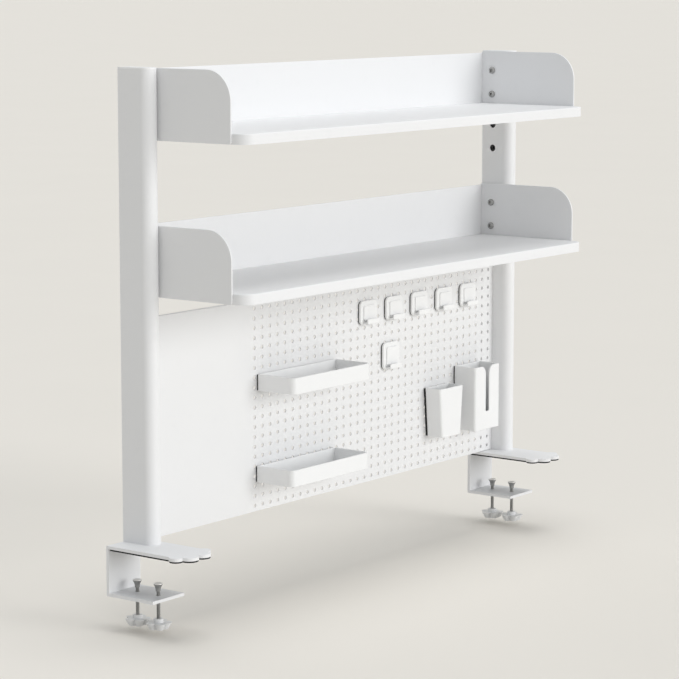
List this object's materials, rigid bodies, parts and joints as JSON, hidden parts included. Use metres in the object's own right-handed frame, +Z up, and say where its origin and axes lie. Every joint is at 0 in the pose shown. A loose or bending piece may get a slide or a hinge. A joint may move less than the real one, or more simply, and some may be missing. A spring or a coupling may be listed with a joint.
{
  "type": "clamp-on desk shelf",
  "caption": "Open shelves and a perforated panel between round-fronted posts that clamp to a desk's rear edge, with pull-off trays, cup, slotted box and hooks",
  "frame": {"origin": "on the desk's rear edge, midway between the posts: X = 0 midway, Y = 0 on the inner faces of the clamps' back plates, Z = 0 on the undersides of the rubber pads (the desk top)", "axes": "X to the right along the desk edge, Y away from the person at the desk, Z up"},
  "size_m": [0.88, 0.1832, 0.704],
  "materials": {
    "white_steel": "matt white powder coat on steel sheet and tube",
    "white_plastic": "satin moulded plastic",
    "knob_plastic": "satin moulded plastic, light grey",
    "black_rubber": "matt rubber sheet",
    "grey_steel": "grey plated steel",
    "zinc_steel": "zinc plated steel",
    "magnet_sheet": "flexible rubber magnet sheet, dark grey"
  },
  "bodies": {
    "frame": {"clamp_nuts": "zinc_steel", "left_clamp_bracket": "white_steel", "left_desk_pad": "black_rubber", "left_post": "white_steel", "left_post_cap": "white_plastic", "lower_back_plate": "white_steel", "lower_left_end_plate": "white_steel", "lower_right_end_plate": "white_steel", "lower_shelf_board": "white_steel", "lower_shelf_rail": "white_steel", "panel": "white_steel", "panel_flanges": "white_steel", "panel_nuts": "zinc_steel", "panel_screws": "grey_steel", "post_foot_blocks": "zinc_steel", "post_foot_screws": "zinc_steel", "post_nut_plates": "zinc_steel", "right_clamp_bracket": "white_steel", "right_desk_pad": "black_rubber", "right_post": "white_steel", "right_post_cap": "white_plastic", "shelf_screws": "grey_steel", "upper_back_plate": "white_steel", "upper_left_end_plate": "white_steel", "upper_right_end_plate": "white_steel", "upper_shelf_board": "white_steel", "upper_shelf_rail": "white_steel"},
    "left_rear_screw_pad": {"left_rear_screw_pad": "grey_steel"},
    "left_rear_screw": {"left_rear_screw_rod": "grey_steel", "left_rear_screw_knob": "knob_plastic"},
    "left_front_screw_pad": {"left_front_screw_pad": "grey_steel"},
    "left_front_screw": {"left_front_screw_rod": "grey_steel", "left_front_screw_knob": "knob_plastic"},
    "right_rear_screw_pad": {"right_rear_screw_pad": "grey_steel"},
    "right_rear_screw": {"right_rear_screw_rod": "grey_steel", "right_rear_screw_knob": "knob_plastic"},
    "right_front_screw_pad": {"right_front_screw_pad": "grey_steel"},
    "right_front_screw": {"right_front_screw_rod": "grey_steel", "right_front_screw_knob": "knob_plastic"},
    "upper_tray": {"upper_tray": "white_plastic", "upper_tray_magnet_sheet": "magnet_sheet"},
    "lower_tray": {"lower_tray": "white_plastic", "lower_tray_magnet_sheet": "magnet_sheet"},
    "pen_cup": {"pen_cup": "white_plastic", "pen_cup_magnet_sheet": "magnet_sheet"},
    "slotted_box": {"slotted_box": "white_plastic", "slotted_box_magnet_sheet": "magnet_sheet"},
    "hook_1": {"hook_1": "white_plastic", "hook_1_magnet_sheet": "magnet_sheet"},
    "hook_2": {"hook_2": "white_plastic", "hook_2_magnet_sheet": "magnet_sheet"},
    "hook_3": {"hook_3": "white_plastic", "hook_3_magnet_sheet": "magnet_sheet"},
    "hook_4": {"hook_4": "white_plastic", "hook_4_magnet_sheet": "magnet_sheet"},
    "hook_5": {"hook_5": "white_plastic", "hook_5_magnet_sheet": "magnet_sheet"},
    "tall_hook": {"tall_hook": "white_plastic", "tall_hook_magnet_sheet": "magnet_sheet"}
  },
  "joints": [
    {"name": "left_rear_screw_travel", "type": "slide", "parent": "frame", "child": "left_rear_screw_pad", "axis": [0, 0, 1], "range_m": [-0.005, 0.02]},
    {"name": "left_rear_screw_turn", "type": "hinge", "parent": "left_rear_screw_pad", "child": "left_rear_screw", "pos_m": [-0.418, -0.021, -0.06], "axis": [0, 0, 1], "range_deg": [-2325, 9150]},
    {"name": "left_front_screw_travel", "type": "slide", "parent": "frame", "child": "left_front_screw_pad", "axis": [0, 0, 1], "range_m": [-0.005, 0.02]},
    {"name": "left_front_screw_turn", "type": "hinge", "parent": "left_front_screw_pad", "child": "left_front_screw", "pos_m": [-0.418, -0.056, -0.06], "axis": [0, 0, 1], "range_deg": [-2325, 9150]},
    {"name": "right_rear_screw_travel", "type": "slide", "parent": "frame", "child": "right_rear_screw_pad", "axis": [0, 0, 1], "range_m": [-0.005, 0.02]},
    {"name": "right_rear_screw_turn", "type": "hinge", "parent": "right_rear_screw_pad", "child": "right_rear_screw", "pos_m": [0.391, -0.021, -0.06], "axis": [0, 0, 1], "range_deg": [-2325, 9150]},
    {"name": "right_front_screw_travel", "type": "slide", "parent": "frame", "child": "right_front_screw_pad", "axis": [0, 0, 1], "range_m": [-0.005, 0.02]},
    {"name": "right_front_screw_turn", "type": "hinge", "parent": "right_front_screw_pad", "child": "right_front_screw", "pos_m": [0.391, -0.056, -0.06], "axis": [0, 0, 1], "range_deg": [-2325, 9150]},
    {"name": "upper_tray_pull", "type": "slide", "parent": "frame", "child": "upper_tray", "axis": [0, -1, 0], "range_m": [0, 0.03]},
    {"name": "lower_tray_pull", "type": "slide", "parent": "frame", "child": "lower_tray", "axis": [0, -1, 0], "range_m": [0, 0.03]},
    {"name": "pen_cup_pull", "type": "slide", "parent": "frame", "child": "pen_cup", "axis": [0, -1, 0], "range_m": [0, 0.03]},
    {"name": "slotted_box_pull", "type": "slide", "parent": "frame", "child": "slotted_box", "axis": [0, -1, 0], "range_m": [0, 0.03]},
    {"name": "hook_1_pull", "type": "slide", "parent": "frame", "child": "hook_1", "axis": [0, -1, 0], "range_m": [0, 0.03]},
    {"name": "hook_2_pull", "type": "slide", "parent": "frame", "child": "hook_2", "axis": [0, -1, 0], "range_m": [0, 0.03]},
    {"name": "hook_3_pull", "type": "slide", "parent": "frame", "child": "hook_3", "axis": [0, -1, 0], "range_m": [0, 0.03]},
    {"name": "hook_4_pull", "type": "slide", "parent": "frame", "child": "hook_4", "axis": [0, -1, 0], "range_m": [0, 0.03]},
    {"name": "hook_5_pull", "type": "slide", "parent": "frame", "child": "hook_5", "axis": [0, -1, 0], "range_m": [0, 0.03]},
    {"name": "tall_hook_pull", "type": "slide", "parent": "frame", "child": "tall_hook", "axis": [0, -1, 0], "range_m": [0, 0.03]}
  ],
  "couplings": [
    {"joint": "left_rear_screw_turn", "follows": "left_rear_screw_travel", "rad_per_m": 7854},
    {"joint": "left_front_screw_turn", "follows": "left_front_screw_travel", "rad_per_m": 7854},
    {"joint": "right_rear_screw_turn", "follows": "right_rear_screw_travel", "rad_per_m": 7854},
    {"joint": "right_front_screw_turn", "follows": "right_front_screw_travel", "rad_per_m": 7854}
  ]
}
